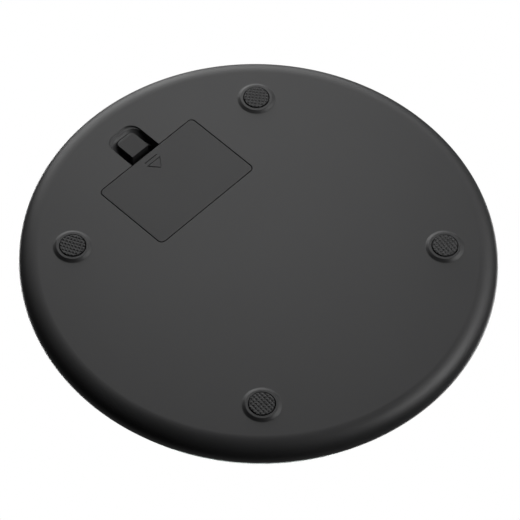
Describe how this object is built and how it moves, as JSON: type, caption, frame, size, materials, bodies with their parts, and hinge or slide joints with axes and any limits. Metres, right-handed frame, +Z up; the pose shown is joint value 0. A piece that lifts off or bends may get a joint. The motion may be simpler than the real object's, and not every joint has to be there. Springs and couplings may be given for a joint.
{
  "type": "digital bathroom scale",
  "caption": "Round electronic bathroom scale: glass platform on a black plastic base with load-cell feet, knurled rubber pads and a latched battery door.",
  "frame": {"origin": "on the floor, under the centre of the round body, midway between the four feet", "axes": "+Z up through the glass platform, +Y towards the display, -Y towards the battery door in the underside, +X to the right of someone facing the display"},
  "size_m": [0.3, 0.3, 0.0226],
  "materials": {
    "base_plastic": "satin black ABS with a very fine moulded grain",
    "door_plastic": "satin black ABS, a touch darker than the base",
    "latch_plastic": "satin black ABS",
    "pad_rubber": "matt black rubber with a diamond knurl",
    "cup_plastic": "black nylon",
    "platform_glass": "clear tempered glass with ground edges",
    "film_print": "gloss black backing seen through the glass",
    "foam_tape": "white double-sided foam tape",
    "cell_steel": "stamped spring steel",
    "bracket_plastic": "natural white ABS",
    "gauge_gel": "white silicone over the strain gauge",
    "lead_sleeve": "red PVC sleeving",
    "battery_jacket": "grey metallic wrapper with a dark band",
    "contact_nickel": "nickel-plated spring steel",
    "lcd_glass": "grey-green liquid crystal panel",
    "frame_plastic": "black ABS",
    "light_guide": "milky acrylic light guide",
    "zebra_rubber": "striped conductive rubber",
    "board_laminate": "green solder mask",
    "chip_epoxy": "black epoxy",
    "screw_steel": "zinc-plated steel"
  },
  "bodies": {
    "root": {"base_shell": "base_plastic", "glass_platform": "platform_glass", "backing_film": "film_print", "adhesive_ring": "foam_tape", "load_cell_front_left": "cell_steel", "cell_bracket_front_left": "bracket_plastic", "strain_gauge_front_left": "gauge_gel", "load_cell_front_right": "cell_steel", "cell_bracket_front_right": "bracket_plastic", "strain_gauge_front_right": "gauge_gel", "load_cell_back_right": "cell_steel", "cell_bracket_back_right": "bracket_plastic", "strain_gauge_back_right": "gauge_gel", "load_cell_back_left": "cell_steel", "cell_bracket_back_left": "bracket_plastic", "strain_gauge_back_left": "gauge_gel", "cell_lead_back_left": "lead_sleeve", "cell_lead_back_right": "lead_sleeve", "cell_lead_front_left": "lead_sleeve", "cell_lead_front_right": "lead_sleeve", "battery_1": "battery_jacket", "battery_2": "battery_jacket", "battery_3": "battery_jacket", "battery_4": "battery_jacket", "contact_spring_1": "contact_nickel", "contact_spring_2": "contact_nickel", "contact_spring_3": "contact_nickel", "contact_spring_4": "contact_nickel", "contact_back_left": "contact_nickel", "contact_back_middle": "contact_nickel", "contact_back_right": "contact_nickel", "contact_front_left": "contact_nickel", "contact_front_right": "contact_nickel", "battery_lead_left": "lead_sleeve", "battery_lead_right": "lead_sleeve", "lcd_panel": "lcd_glass", "lcd_frame": "frame_plastic", "lcd_backlight": "light_guide", "zebra_strip": "zebra_rubber", "main_board": "board_laminate", "chip_cover": "chip_epoxy", "board_screw_1": "screw_steel", "board_screw_2": "screw_steel", "board_screw_3": "screw_steel", "board_screw_4": "screw_steel"},
    "foot_front_left": {"foot_pad_front_left": "pad_rubber", "foot_cup_front_left": "cup_plastic"},
    "foot_front_right": {"foot_pad_front_right": "pad_rubber", "foot_cup_front_right": "cup_plastic"},
    "foot_back_right": {"foot_pad_back_right": "pad_rubber", "foot_cup_back_right": "cup_plastic"},
    "foot_back_left": {"foot_pad_back_left": "pad_rubber", "foot_cup_back_left": "cup_plastic"},
    "battery_door": {"battery_door": "door_plastic"},
    "door_latch": {"door_latch": "latch_plastic"}
  },
  "joints": [
    {"name": "foot_travel_front_left", "type": "slide", "parent": "root", "child": "foot_front_left", "axis": [0, 0, 1], "range_m": [0, 0.0005], "stiffness_N_per_m": 1000000},
    {"name": "foot_travel_front_right", "type": "slide", "parent": "root", "child": "foot_front_right", "axis": [0, 0, 1], "range_m": [0, 0.0005], "stiffness_N_per_m": 1000000},
    {"name": "foot_travel_back_right", "type": "slide", "parent": "root", "child": "foot_back_right", "axis": [0, 0, 1], "range_m": [0, 0.0005], "stiffness_N_per_m": 1000000},
    {"name": "foot_travel_back_left", "type": "slide", "parent": "root", "child": "foot_back_left", "axis": [0, 0, 1], "range_m": [0, 0.0005], "stiffness_N_per_m": 1000000},
    {"name": "battery_door_hinge", "type": "hinge", "parent": "root", "child": "battery_door", "pos_m": [0, -0.04445, 0.0021], "axis": [1, 0, 0], "range_deg": [0, 75]},
    {"name": "door_latch_flex", "type": "hinge", "parent": "battery_door", "child": "door_latch", "pos_m": [0, -0.1026, 0.009], "axis": [1, 0, 0], "range_deg": [0, 7], "stiffness_Nm_per_rad": 0.5}
  ]
}
